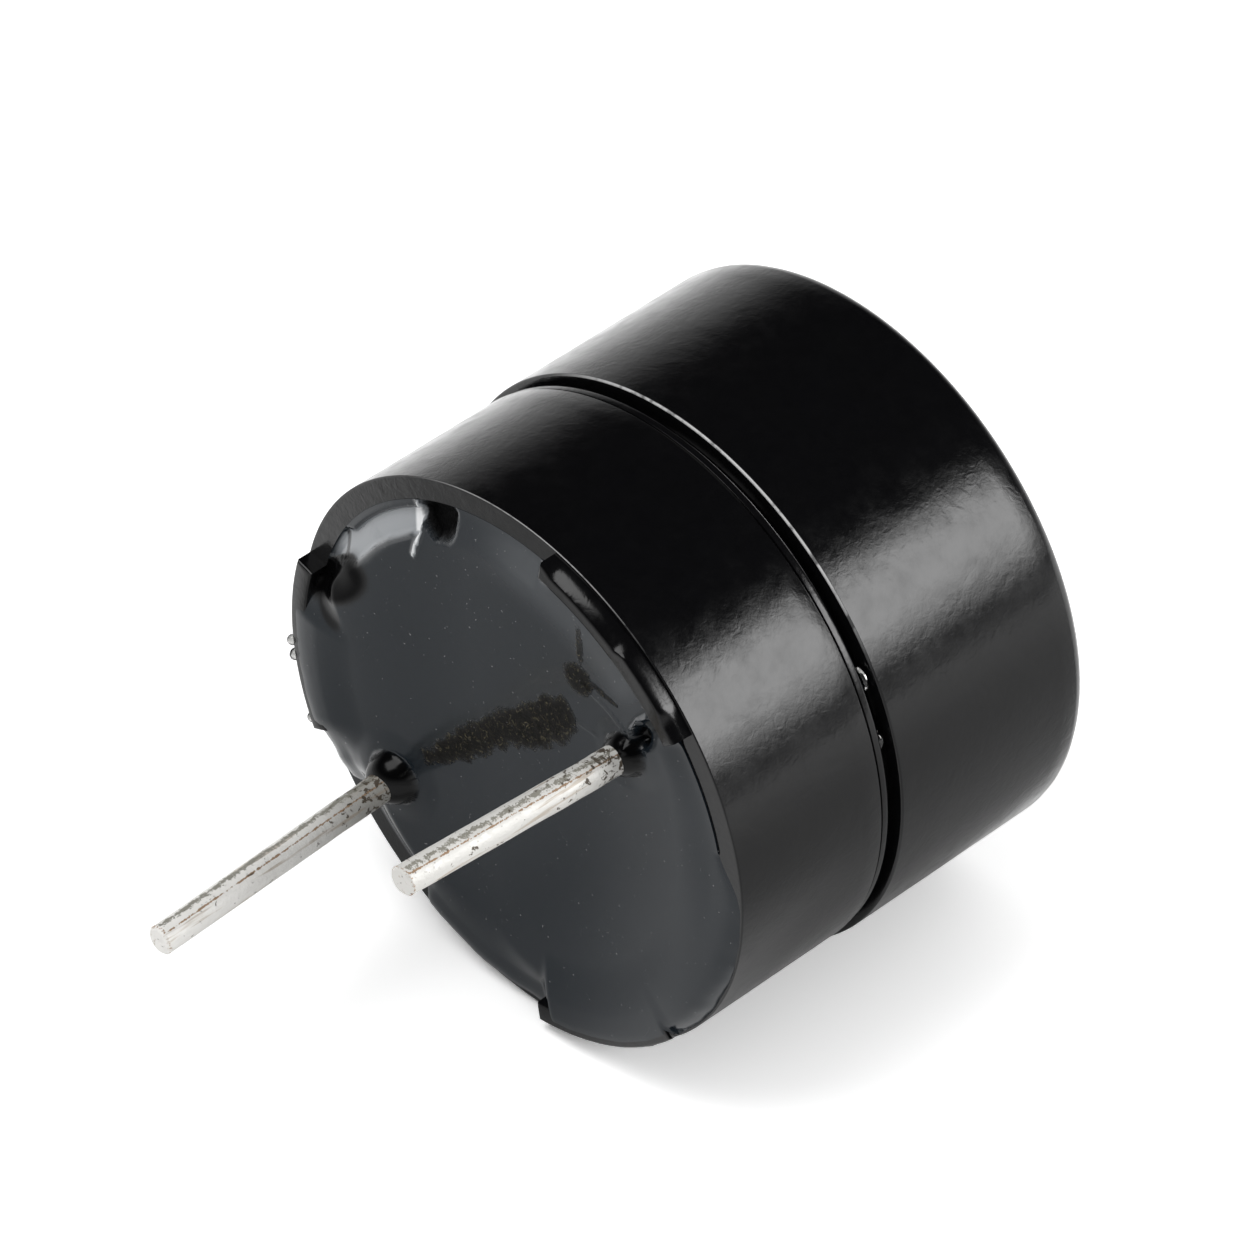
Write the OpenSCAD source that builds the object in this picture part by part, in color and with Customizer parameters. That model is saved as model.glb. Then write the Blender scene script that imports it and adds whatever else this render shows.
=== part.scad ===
// Round magnetic buzzer for a printed circuit board, with its drive circuit potted inside.
// Millimetres. Z is the sound axis: the sound hole faces +Z and the two pins point to -Z.
// Z = 0 is the seating plane, at the feet of the stand-off tabs. X runs through both pins.

/* [Case] */
// Height from the seating plane to the face with the sound hole
case_h = 9.3; // [8.6:0.05:11]
// Outer diameter of the cap
cap_d = 12; // [11.6:0.05:13]
// Wall of the cap's skirt round the base's spigot
cap_wall = 0.42; // [0.3:0.01:0.5]
// Thickness of the cap's end wall
cap_end = 0.8; // [0.5:0.05:1.2]
// Radius on the cap's outer edge
cap_edge_r = 0.28; // [0.1:0.01:0.4]
// Diameter of the sound hole
sound_hole_d = 2.4; // [1.2:0.1:4]
// Bevel round the mouth of the sound hole
sound_hole_bevel = 0.12; // [0.05:0.01:0.3]
// How far the base's side stands back from the cap's side
base_inset = 0.08; // [0.04:0.01:0.15]
// Length of the base's side, from its rim to its shoulder
base_h = 3.8; // [3:0.05:4.6]
// Wall of the base round the potting
base_wall = 0.47; // [0.35:0.01:0.6]
// Open channel between the base's shoulder and the cap's skirt
channel_w = 0.22; // [0.1:0.01:0.4]
// Height of the stepped land just under the shoulder
land_h = 0.21; // [0.1:0.01:0.4]
// Depth of that step
land_inset = 0.04; // [0.02:0.01:0.08]

/* [Stand-off tabs] */
// Height of the tabs, which sets the rim off the board
tab_h = 0.4; // [0.2:0.05:0.8]
// Angle that one tab covers round the rim
tab_span = 41; // [20:1:60]
// How far the tabs stand back from the base's side
tab_inset = 0.06; // [0.02:0.01:0.12]
// Direction of the middle of each tab round the rim, in rising order
tab_angles = [35, 160, 280]; // [0:1:359]

/* [Pins] */
// Pin diameter
pin_d = 0.6; // [0.45:0.05:0.8]
// Distance between the pin axes
pin_pitch = 7.6; // [6.5:0.1:8]
// Reach of the long, positive pin below the seating plane
long_pin_l = 6; // [3:0.1:8]
// Reach of the short, negative pin below the seating plane
short_pin_l = 5.1; // [3:0.1:8]
// Bevel on the cut end of a pin
pin_bevel = 0.04; // [0.02:0.01:0.1]
// How far a pin's held end narrows towards the board, on the radius
pin_taper = 0.05; // [0.02:0.01:0.1]

/* [Potting and board] */
// Depth of the potting, from the rim to the circuit board
potting_h = 1.35; // [1.25:0.05:1.8]
// How far the potting stands proud of the rim
potting_proud = 0.06; // [0.02:0.01:0.15]
// Radius of the potting drop that clings to each pin
pin_drop_r = 0.5; // [0.45:0.01:0.7]
// Thickness of the circuit board
board_t = 0.6; // [0.4:0.05:0.8]

/* [Sound drive] */
// Thickness of the yoke plate
yoke_t = 0.5; // [0.4:0.05:0.8]
// Diameter of the iron core
core_d = 2.4; // [1.8:0.1:2.8]
// Height of the core above the yoke plate
core_h = 2.7; // [2.5:0.05:3.1]
// Diameter of the tenon that is riveted into the yoke plate
tenon_d = 1.6; // [1:0.1:1.7]
// Air gap between the core and the diaphragm
air_gap = 0.25; // [0.15:0.05:0.4]
// Height of the ring magnet
magnet_h = 2.5; // [1.8:0.05:2.6]
// Radial width of the ring magnet
magnet_w = 1.5; // [1:0.05:1.6]
// Gap between the coil and the magnet
coil_gap = 0.4; // [0.2:0.05:0.6]
// Layers of wire that show down the coil's side
coil_rows = 12; // [8:1:16]
// Height of one layer
wire_pitch = 0.19; // [0.1:0.01:0.2]
// Thickness of the diaphragm
diaphragm_t = 0.08; // [0.05:0.01:0.12]
// Diameter of the iron disc welded to the diaphragm
armature_d = 3.8; // [2.4:0.1:5]
// Thickness of that disc
armature_t = 0.25; // [0.15:0.05:0.4]
// Width of the ledge that carries the diaphragm's edge
seat_ledge = 0.4; // [0.3:0.05:0.5]
// Wall of the spigot round the diaphragm
seat_wall = 0.28; // [0.2:0.02:0.4]
// Height of that wall above the ledge
seat_rim_h = 0.3; // [0.2:0.05:0.5]

/* [Hidden] */
$fn = 96;

// clearances
fit_gap = 0.05;        // one moulded or pressed piece in another, on the radius
potting_gap = 0.01;    // set potting against what it holds
hole_gap = 0.05;       // pins and leads in the board's holes, on the radius
bite = 1;              // how far a cutting shape runs past the face it opens

// radii, from the outside in
cap_r = cap_d / 2;
base_r = cap_r - base_inset;
spigot_r = cap_r - cap_wall - fit_gap;
seat_r = spigot_r - seat_wall;
bore_r = seat_r - seat_ledge;
chamber_r = seat_r - seat_ledge / 2;
diaphragm_r = seat_r - fit_gap;
magnet_r = bore_r - fit_gap;
magnet_in_r = magnet_r - magnet_w;
coil_r = magnet_in_r - coil_gap;
core_r = core_d / 2;
pin_r = pin_d / 2;
pocket_r = base_r - base_wall;
board_r = pocket_r - fit_gap;
potting_r = pocket_r - potting_gap;

// heights, from the seating plane up
rim_z = tab_h;
potting_z = rim_z - potting_proud;
board_z = rim_z + potting_h;
board_top_z = board_z + board_t;
yoke_top_z = board_top_z + yoke_t;
core_top_z = yoke_top_z + core_h;
seat_z = core_top_z + air_gap;
cap_seat_z = seat_z + seat_rim_h;
shoulder_z = rim_z + base_h;
skirt_z = shoulder_z + channel_w;
chamber_top_z = case_h - cap_end;

// pins: they stop just short of the yoke plate, in the board
pin_set_back = 0.1;
pin_top_z = board_top_z - pin_set_back;
pin_solder_r = 0.72;
pin_solder_h = 0.5;

// coil leads: straight down through the yoke plate and the board to their pads
coil_sleeve = 0.05;
lead_r = 0.05;
lead_ring_r = (core_r + coil_r) / 2;
lead_angles = [60, 90, 120];
lead_tail = 0.25;
lead_hole_r = 0.22;
lead_solder_r = 0.32;

// small parts under the board: length, width, height and place
transistor_size = [2.9, 1.3, 1];
transistor_at = [0, -2.1];
transistor_lift = 0.1;
leg_t = 0.12;
leg_w = 0.42;
leg_foot = 0.4;
leg_run = 0.55;
leg_pitch = 1.9;
chip_end = 0.3;
resistor_size = [1.6, 0.8, 0.45];
resistor_at = [-1.25, 0.1];
diode_size = [1.7, 1.25, 0.85];
diode_at = [1.2, 0];
solder_run = 0.25;
solder_rise = 0.3;

case_black = [0.07, 0.07, 0.08];
potting_black = [0.16, 0.17, 0.19];
tin = [0.82, 0.80, 0.76];
solder_grey = [0.7, 0.71, 0.72];
board_green = [0.1, 0.34, 0.2];
steel = [0.62, 0.63, 0.65];
copper = [0.72, 0.38, 0.2];

// a cylinder between two heights
module drum(r, low, high) {
    translate([0, 0, low]) cylinder(r = r, h = high - low);
}

// stands a small part, drawn upright, under the board
module under_board(at = [0, 0]) {
    translate([at[0], at[1], board_z]) mirror([0, 0, 1]) children();
}

module at_leads() {
    for (a = lead_angles) rotate([0, 0, a]) translate([lead_ring_r, 0, 0]) children();
}

module at_pins() {
    for (side = [-1, 1]) translate([side * pin_pitch / 2, 0, 0]) children();
}

// Cap: skirt, end wall with the sound hole, and the ledge that stands on the spigot
module cap() {
    color(case_black) rotate_extrude() difference() {
        union() {
            translate([0, skirt_z]) square([cap_r, case_h - cap_edge_r - skirt_z]);
            translate([0, case_h - 2 * cap_edge_r]) square([cap_r - cap_edge_r, 2 * cap_edge_r]);
            translate([cap_r - cap_edge_r, case_h - cap_edge_r]) circle(r = cap_edge_r);
        }
        translate([-bite, skirt_z - bite]) square([spigot_r + fit_gap + bite, cap_seat_z - skirt_z + bite]);
        translate([-bite, cap_seat_z - bite]) square([chamber_r + bite, chamber_top_z - cap_seat_z + bite]);
        translate([-bite, case_h - cap_end - bite]) square([sound_hole_d / 2 + bite, cap_end + 2 * bite]);
        polygon([[0, case_h], [sound_hole_d / 2 + sound_hole_bevel, case_h],
            [sound_hole_d / 2, case_h - sound_hole_bevel], [0, case_h - sound_hole_bevel]]);
    }
}

// Base: side wall, stepped land, shoulder, and the spigot that carries diaphragm and cap.
// The wall runs down to the seating plane, and what lies between the tabs is cut back to the rim.
module base() {
    color(case_black) difference() {
        rotate_extrude() difference() {
            union() {
                translate([0, rim_z]) square([base_r, base_h - land_h]);
                translate([0, rim_z]) square([base_r - land_inset, base_h]);
                square([base_r - tab_inset, base_h]);
                translate([0, rim_z]) square([spigot_r, cap_seat_z - rim_z]);
            }
            translate([-bite, -bite]) square([pocket_r + bite, board_top_z + bite]);
            translate([-bite, rim_z]) square([bore_r + bite, seat_z]);
            translate([-bite, seat_z]) square([seat_r + bite, seat_rim_h + bite]);
        }
        for (i = [0 : len(tab_angles) - 1]) tab_gap(i);
    }
}

// What is cut away between one stand-off tab and the next
module tab_gap(i) {
    last = i == len(tab_angles) - 1;
    from = tab_angles[i] + tab_span / 2;
    to = (last ? tab_angles[0] + 360 : tab_angles[i + 1]) - tab_span / 2;
    rotate([0, 0, from]) rotate_extrude(angle = to - from)
        translate([pocket_r - bite, -bite]) square([base_wall + 2 * bite, tab_h + bite]);
}

// Potting: poured in from the pin side, round the small parts, with a drop at each pin
module epoxy() {
    color(potting_black) difference() {
        union() {
            drum(potting_r, potting_z, board_z);
            at_pins() translate([0, 0, potting_z]) sphere(r = pin_drop_r);
        }
        at_pins() drum(pin_r + potting_gap, -bite, potting_z);
        at_pins() pin_root(potting_gap);
        at_pins() drum(pin_solder_r + potting_gap, board_z - pin_solder_h - potting_gap, board_z + bite);
        at_leads() drum(lead_solder_r + potting_gap, board_z - lead_tail - potting_gap, board_z + bite);
        under_board(transistor_at) part_pocket(transistor_size, leg_run, transistor_lift);
        under_board(resistor_at) part_pocket(resistor_size, solder_run, 0, turned = true);
        under_board(diode_at) part_pocket(diode_size, solder_run, 0, turned = true);
    }
}

// Room for a small part and the metal at its ends
module part_pocket(size, end_run, lift, turned = false) {
    room = turned ? [size[0] + 2 * end_run, size[1]] : [size[0], size[1] + 2 * end_run];
    translate([-room[0] / 2 - potting_gap, -room[1] / 2 - potting_gap, -bite])
        cube([room[0] + 2 * potting_gap, room[1] + 2 * potting_gap, size[2] + lift + potting_gap + bite]);
}

// Circuit board, drilled for the pins and the coil leads
module circuit_board() {
    color(board_green) difference() {
        drum(board_r, board_z, board_top_z);
        at_pins() drum(pin_r + hole_gap, board_z - bite, board_top_z + bite);
        at_leads() drum(lead_r + hole_gap, board_z - bite, board_top_z + bite);
    }
}

// Yoke plate, with the tenon's hole and a hole for each lead
module yoke_plate() {
    color(steel) difference() {
        drum(magnet_r, board_top_z, yoke_top_z);
        drum(tenon_d / 2 + potting_gap, board_top_z - bite, yoke_top_z + bite);
        at_leads() drum(lead_hole_r, board_top_z - bite, yoke_top_z + bite);
    }
}

// Iron core, standing on the yoke plate and riveted through it
module core() {
    tip_bevel = 0.1;
    color(steel) {
        drum(core_r, yoke_top_z, core_top_z - tip_bevel);
        translate([0, 0, core_top_z - tip_bevel])
            cylinder(r1 = core_r, r2 = core_r - tip_bevel, h = tip_bevel);
        drum(tenon_d / 2, board_top_z, yoke_top_z);
    }
}

// Coil, wound in even layers round the core
module coil() {
    coil_in_r = core_r + coil_sleeve;
    coil_h = coil_rows * wire_pitch;
    color(copper) rotate_extrude() {
        translate([coil_in_r, yoke_top_z]) square([coil_r - wire_pitch / 2 - coil_in_r, coil_h]);
        for (i = [0 : coil_rows - 1])
            translate([coil_r - wire_pitch / 2, yoke_top_z + (i + 0.5) * wire_pitch])
                circle(r = wire_pitch / 2, $fn = 24);
    }
}

// Ring magnet, standing on the yoke plate
module ring_magnet() {
    color([0.2, 0.2, 0.22]) difference() {
        drum(magnet_r, yoke_top_z, yoke_top_z + magnet_h);
        drum(magnet_in_r, yoke_top_z - bite, yoke_top_z + magnet_h + bite);
    }
}

// Diaphragm, lying on the spigot's ledge
module diaphragm() {
    color(steel) drum(diaphragm_r, seat_z, seat_z + diaphragm_t);
}

// Iron disc welded to the middle of the diaphragm
module armature() {
    color(steel) drum(armature_d / 2, seat_z + diaphragm_t, seat_z + diaphragm_t + armature_t);
}

// The end of a pin that the potting and the board hold: it narrows, to be pressed in
module pin_root(grow = 0) {
    translate([0, 0, potting_z])
        cylinder(r1 = pin_r + grow, r2 = pin_r - pin_taper + grow, h = pin_top_z - potting_z);
}

// A round pin with a bevelled cut end, reaching down from the board
module pin(side, reach) {
    color(tin) translate([side * pin_pitch / 2, 0, 0]) {
        pin_root();
        drum(pin_r, pin_bevel - reach, potting_z);
        translate([0, 0, -reach]) cylinder(r1 = pin_r - pin_bevel, r2 = pin_r, h = pin_bevel);
    }
}

module long_pin() {
    pin(1, long_pin_l);
}

module short_pin() {
    pin(-1, short_pin_l);
}

// A cone of solder round a pin or a lead, drawn upright on its pad
module solder_cone(wire_r, foot_r, top_r, h) {
    foot_h = 0.06;
    rotate_extrude() polygon([[wire_r + potting_gap, 0], [foot_r, 0], [foot_r, foot_h], [top_r, h],
        [wire_r + potting_gap, h]]);
}

module pin_solder() {
    color(solder_grey) for (side = [-1, 1]) under_board([side * pin_pitch / 2, 0])
        solder_cone(pin_r, pin_solder_r, pin_r + 0.08, pin_solder_h);
}

module lead_solder() {
    color(solder_grey) for (a = lead_angles)
        under_board([lead_ring_r * cos(a), lead_ring_r * sin(a)])
            solder_cone(lead_r, lead_solder_r, lead_r + 0.06, lead_tail);
}

// Transistor: a moulded block with three bent legs
module transistor() {
    color(case_black) under_board(transistor_at)
        translate([-transistor_size[0] / 2, -transistor_size[1] / 2, transistor_lift])
            cube(transistor_size);
}

// One bent leg, from the block's side down to its foot on the board
module leg() {
    exit_z = transistor_lift + transistor_size[2] / 2;
    bend = leg_run - leg_foot;
    translate([leg_w / 2, transistor_size[1] / 2, 0]) rotate([90, 0, -90]) mirror([1, 0, 0])
        linear_extrude(height = leg_w) polygon([[0, exit_z], [bend + leg_t, exit_z], [bend + leg_t, leg_t],
            [leg_run, leg_t], [leg_run, 0], [bend, 0], [bend, exit_z - leg_t], [0, exit_z - leg_t]]);
}

module at_legs() {
    for (x = [-leg_pitch / 2, leg_pitch / 2]) translate([x, 0, 0]) children();
    rotate([0, 0, 180]) children();
}

module transistor_legs() {
    color(tin) under_board(transistor_at) at_legs() leg();
}

// A chip part with thicker metal ends
module chip(size) {
    step = 0.03;
    translate([-size[0] / 2 + chip_end / 2, -size[1] / 2 + step, step])
        cube([size[0] - chip_end, size[1] - 2 * step, size[2] - 2 * step]);
    for (side = [0, 1]) translate([side * (size[0] - chip_end) - size[0] / 2, -size[1] / 2, 0])
        cube([chip_end, size[1], size[2]]);
}

module resistor() {
    color([0.12, 0.12, 0.13]) under_board(resistor_at) chip(resistor_size);
}

module diode() {
    color([0.1, 0.1, 0.11]) under_board(diode_at) chip(diode_size);
}

// Solder at both ends of a chip part
module chip_solder(size) {
    for (turn = [0, 180]) rotate([0, 0, turn])
        translate([size[0] / 2, size[1] / 2, 0]) rotate([90, 0, 0]) linear_extrude(height = size[1])
            polygon([[0, 0], [solder_run, 0], [0, solder_rise]]);
}

module component_solder() {
    color(solder_grey) {
        under_board(resistor_at) chip_solder(resistor_size);
        under_board(diode_at) chip_solder(diode_size);
    }
}

// One straight end of the coil's wire
module coil_lead(a) {
    color(copper) rotate([0, 0, a]) translate([lead_ring_r, 0, 0])
        drum(lead_r, board_z - lead_tail, yoke_top_z);
}

module coil_lead_start() {
    coil_lead(lead_angles[0]);
}

module coil_lead_tap() {
    coil_lead(lead_angles[1]);
}

module coil_lead_end() {
    coil_lead(lead_angles[2]);
}

cap();
base();
epoxy();
circuit_board();
yoke_plate();
core();
coil();
ring_magnet();
diaphragm();
armature();
long_pin();
short_pin();
pin_solder();
transistor();
transistor_legs();
resistor();
diode();
component_solder();
coil_lead_start();
coil_lead_tap();
coil_lead_end();
lead_solder();
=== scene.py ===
import math

import bmesh
import bpy
from mathutils import Matrix, Vector, noise


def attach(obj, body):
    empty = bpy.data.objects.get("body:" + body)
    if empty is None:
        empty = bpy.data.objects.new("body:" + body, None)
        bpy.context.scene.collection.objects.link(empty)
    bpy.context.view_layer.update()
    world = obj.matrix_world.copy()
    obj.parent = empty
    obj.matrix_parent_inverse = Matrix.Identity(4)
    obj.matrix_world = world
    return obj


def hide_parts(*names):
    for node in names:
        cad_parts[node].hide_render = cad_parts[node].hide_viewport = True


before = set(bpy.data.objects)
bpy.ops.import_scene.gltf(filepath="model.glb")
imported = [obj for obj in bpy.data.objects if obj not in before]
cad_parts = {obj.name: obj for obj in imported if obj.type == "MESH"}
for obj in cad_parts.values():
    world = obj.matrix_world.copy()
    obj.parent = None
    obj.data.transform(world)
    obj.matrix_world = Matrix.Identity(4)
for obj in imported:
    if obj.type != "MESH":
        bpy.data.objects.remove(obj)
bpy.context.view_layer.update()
mm = 0.001  # every size below is in millimetres, the scene is in metres


def fade(value, empty, full):
    # 0 at empty, 1 at full, soft at both ends
    t = min(max((value - empty) / (full - empty), 0.0), 1.0)
    return t * t * (3 - 2 * t)


# camera

camera = {
    "place": (-125.522, 26.956, -73.44),
    "ahead": (0.8388, -0.1732, 0.5162),
    "up": (-0.1015, 0.8817, 0.4607),
    "lens": 229.67,
    "sensor": 36.0,
}


def facing(place, ahead, up):
    back = -Vector(ahead).normalized()
    right = Vector(up).cross(back).normalized()
    turn = Matrix((right, back.cross(right), back)).transposed().to_4x4()
    return Matrix.Translation(Vector(place) * mm) @ turn


def makeCamera():
    data = bpy.data.cameras.new("camera")
    data.lens = camera["lens"]
    data.sensor_width = camera["sensor"]
    data.clip_start = 0.01
    data.clip_end = 20
    thing = bpy.data.objects.new("camera", data)
    thing.matrix_world = facing(camera["place"], camera["ahead"], camera["up"])
    bpy.context.scene.collection.objects.link(thing)
    bpy.context.scene.camera = thing


makeCamera()
bpy.context.scene.view_settings.view_transform = "Standard"
print("camera in place")


# small helpers for materials

def newMaterial(name):
    material = bpy.data.materials.new(name)
    material.use_nodes = True
    material.node_tree.nodes.clear()
    return material, material.node_tree


def addNode(tree, kind, settings=None, **inputs):
    node = tree.nodes.new(kind)
    for key, value in (settings or {}).items():
        setattr(node, key, value)
    for key, value in inputs.items():
        node.inputs[key].default_value = value
    return node


def readAttribute(tree, name):
    return addNode(tree, "ShaderNodeAttribute", {"attribute_name": name}).outputs["Fac"]


def objectPlace(tree):
    # object coordinates in millimetres
    coordinates = tree.nodes.new("ShaderNodeTexCoord")
    mapping = addNode(tree, "ShaderNodeMapping", Scale=(1 / mm, 1 / mm, 1 / mm))
    tree.links.new(coordinates.outputs["Object"], mapping.inputs["Vector"])
    return mapping.outputs["Vector"]


def addNoise(tree, place, scale, detail=3, rough=0.5, twist=0):
    node = addNode(tree, "ShaderNodeTexNoise", Scale=scale, Detail=detail, Roughness=rough, Distortion=twist)
    tree.links.new(place, node.inputs["Vector"])
    return node.outputs["Fac"]


def spread(tree, value, low, high, to=(0, 1)):
    node = tree.nodes.new("ShaderNodeMapRange")
    node.interpolation_type = "SMOOTHSTEP"
    node.inputs["From Min"].default_value = low
    node.inputs["From Max"].default_value = high
    node.inputs["To Min"].default_value = to[0]
    node.inputs["To Max"].default_value = to[1]
    tree.links.new(value, node.inputs["Value"])
    return node.outputs["Result"]


def combine(tree, how, a, b):
    node = tree.nodes.new("ShaderNodeMath")
    node.operation = how
    for socket, value in zip(node.inputs, (a, b)):
        if isinstance(value, (int, float)):
            socket.default_value = value
        else:
            tree.links.new(value, socket)
    return node.outputs[0]


def blendColours(tree, share, first, second):
    node = tree.nodes.new("ShaderNodeMix")
    node.data_type = "RGBA"
    tree.links.new(share, node.inputs["Factor"])
    for socket, colour in ((node.inputs[6], first), (node.inputs[7], second)):
        if isinstance(colour, tuple):
            socket.default_value = (*colour, 1)
        else:
            tree.links.new(colour, socket)
    return node.outputs[2]


def addBump(tree, height, depth, before=None):
    # depth is the height's full range in millimetres
    node = tree.nodes.new("ShaderNodeBump")
    node.inputs["Distance"].default_value = depth * mm
    tree.links.new(height, node.inputs["Height"])
    if before:
        tree.links.new(before, node.inputs["Normal"])
    return node.outputs["Normal"]


def shinyRays(tree, path):
    return combine(tree, "MAXIMUM", path.outputs["Is Glossy Ray"], path.outputs["Is Transmission Ray"])


def showUnless(tree, hidden, shader):
    # the shader, or nothing where hidden is 1
    clear = tree.nodes.new("ShaderNodeBsdfTransparent")
    mix = tree.nodes.new("ShaderNodeMixShader")
    tree.links.new(hidden, mix.inputs[0])
    tree.links.new(shader.outputs[0], mix.inputs[1])
    tree.links.new(clear.outputs[0], mix.inputs[2])
    output = tree.nodes.new("ShaderNodeOutputMaterial")
    tree.links.new(mix.outputs[0], output.inputs["Surface"])


def addSurface(tree, colour, roughness, normal=None, metallic=0.0, ior=1.5):
    shader = addNode(tree, "ShaderNodeBsdfPrincipled", Metallic=metallic, IOR=ior)
    for name, value in (("Base Color", colour), ("Roughness", roughness)):
        socket = shader.inputs[name]
        if isinstance(value, tuple):
            socket.default_value = (*value, 1)
        elif isinstance(value, float):
            socket.default_value = value
        else:
            tree.links.new(value, socket)
    if normal:
        tree.links.new(normal, shader.inputs["Normal"])
    output = tree.nodes.new("ShaderNodeOutputMaterial")
    tree.links.new(shader.outputs["BSDF"], output.inputs["Surface"])
    return shader


# studio: a white floor, a white surround near the horizon, and two soft lamps

studio = {
    "up": (-0.6347, 0.7728, 0.0),
    "back": (0.5579, 0.4581, 0.6922),
    "floorDrop": 6.0, "floorSize": 4000,
    # the floor's tone under the lamps, as the camera sees it, and in shiny surfaces
    "floorColour": 0.8, "floorSeen": 1.52, "floorShine": 0.58,
    # lighter parts of the floor in shiny surfaces: axis, from, to, how much lighter, in metres
    "shineMore": (("Y", 0.003, 0.0052, 0.85), ("X", 0.012, 0.052, 0.4)),
    # and a patch in front: from and to along Y, how much lighter, from and to along X
    "shineFront": (-0.0006, -0.0028, 0.4, 0.014, 0.006),
    "ambient": 0.62,
    # the surround in shiny surfaces, and the rise over which it goes dark
    "horizonGlow": 1.0, "darkFrom": -0.05, "darkFull": 0.47,
    # direction, distance, width, height, glow, and the share of it that fades: at the sides, top and bottom
    "keyLamp": ((-0.841, -0.1635, 0.516), 160, 74, 118, 10.2, (0.2, 0.28, 0.46)),
    "topLamp": ((-0.3905, 0.8565, -0.3415), 170, 120, 120, 4.2, (0.12, 0.12, 0.12)),
}


def flatCard(name, place, towards, width, height):
    data = bpy.data.meshes.new(name)
    form = bmesh.new()
    bmesh.ops.create_grid(form, x_segments=1, y_segments=1, size=0.5)
    back = Vector(towards).normalized()
    side = Vector(studio["up"]).cross(back).normalized()
    turn = Matrix((side, back.cross(side), back)).transposed().to_4x4()
    bmesh.ops.scale(form, vec=(width * mm, height * mm, 1), verts=form.verts)
    form.to_mesh(data)
    form.free()
    thing = bpy.data.objects.new(name, data)
    thing.matrix_world = Matrix.Translation(Vector(place) * mm) @ turn
    bpy.context.scene.collection.objects.link(thing)
    return thing


def makeLamp(name, towards, distance, width, height, glow, soft):
    away = Vector(towards).normalized()
    card = flatCard(name, away * distance, -away, width, height)
    material, tree = newMaterial(name)
    coordinates = tree.nodes.new("ShaderNodeTexCoord")
    parts = tree.nodes.new("ShaderNodeSeparateXYZ")
    tree.links.new(coordinates.outputs["Object"], parts.inputs[0])
    sideways = combine(tree, "ABSOLUTE", parts.outputs["X"], 0)
    half, high = width * mm / 2, height * mm / 2
    strength = spread(tree, sideways, half, half * (1 - 2 * soft[0]))
    for low, full in ((high, high * (1 - 2 * soft[1])), (-high, -high * (1 - 2 * soft[2]))):
        strength = combine(tree, "MULTIPLY", strength, spread(tree, parts.outputs["Y"], low, full))
    glowing = tree.nodes.new("ShaderNodeEmission")
    tree.links.new(combine(tree, "MULTIPLY", strength, glow), glowing.inputs["Strength"])
    geometry = tree.nodes.new("ShaderNodeNewGeometry")
    path = tree.nodes.new("ShaderNodeLightPath")
    showUnless(tree, combine(tree, "MAXIMUM", geometry.outputs["Backfacing"], path.outputs["Is Camera Ray"]),
               glowing)
    card.data.materials.append(material)
    card.visible_shadow = False


def makeFloor():
    up = Vector(studio["up"])
    floor = flatCard("floor", -up * studio["floorDrop"], up, studio["floorSize"], studio["floorSize"])
    back = Vector(studio["back"])
    turn = Matrix((back.cross(up), back, up)).transposed().to_4x4()
    floor.matrix_world = Matrix.Translation(-up * studio["floorDrop"] * mm) @ turn
    material, tree = newMaterial("floorPaper")
    path = tree.nodes.new("ShaderNodeLightPath")
    geometry = tree.nodes.new("ShaderNodeNewGeometry")
    coordinates = tree.nodes.new("ShaderNodeTexCoord")
    parts = tree.nodes.new("ShaderNodeSeparateXYZ")
    tree.links.new(coordinates.outputs["Object"], parts.inputs[0])
    shine = studio["floorShine"] - studio["floorColour"]
    for axis, low, high, more in studio["shineMore"]:
        shine = combine(tree, "ADD", spread(tree, parts.outputs[axis], low, high, (0, more)), shine)
    low, high, more, far, near = studio["shineFront"]
    front = combine(tree, "MULTIPLY", spread(tree, parts.outputs["Y"], low, high, (0, more)),
                    spread(tree, parts.outputs["X"], far, near))
    shine = combine(tree, "ADD", shine, front)
    shade = combine(tree, "MULTIPLY", shinyRays(tree, path), shine)
    seen = combine(tree, "MULTIPLY", path.outputs["Is Camera Ray"], studio["floorSeen"] - studio["floorColour"])
    shade = combine(tree, "ADD", combine(tree, "ADD", shade, seen), studio["floorColour"])
    paper = tree.nodes.new("ShaderNodeBsdfDiffuse")
    tree.links.new(shade, paper.inputs["Color"])
    showUnless(tree, geometry.outputs["Backfacing"], paper)
    floor.data.materials.append(material)


def makeWorld():
    world = bpy.data.worlds.new("surround")
    bpy.context.scene.world = world
    world.use_nodes = True
    tree = world.node_tree
    tree.nodes.clear()
    coordinates = tree.nodes.new("ShaderNodeTexCoord")
    rise = tree.nodes.new("ShaderNodeVectorMath")
    rise.operation = "DOT_PRODUCT"
    rise.inputs[1].default_value = studio["up"]
    tree.links.new(coordinates.outputs["Generated"], rise.inputs[0])
    fading = spread(tree, rise.outputs["Value"], studio["darkFrom"], studio["darkFull"],
                    (studio["horizonGlow"], 0.0))
    path = tree.nodes.new("ShaderNodeLightPath")
    shiny = combine(tree, "MULTIPLY", shinyRays(tree, path), fading)
    dull = combine(tree, "MULTIPLY", path.outputs["Is Diffuse Ray"], studio["ambient"])
    strength = combine(tree, "ADD", combine(tree, "ADD", shiny, dull), path.outputs["Is Camera Ray"])
    background = addNode(tree, "ShaderNodeBackground", Color=(1, 1, 1, 1))
    tree.links.new(strength, background.inputs["Strength"])
    output = tree.nodes.new("ShaderNodeOutputWorld")
    tree.links.new(background.outputs[0], output.inputs["Surface"])


makeFloor()
makeWorld()
for lamp in ("keyLamp", "topLamp"):
    makeLamp(lamp, *studio[lamp])
print("studio set up")


# finishes

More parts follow.
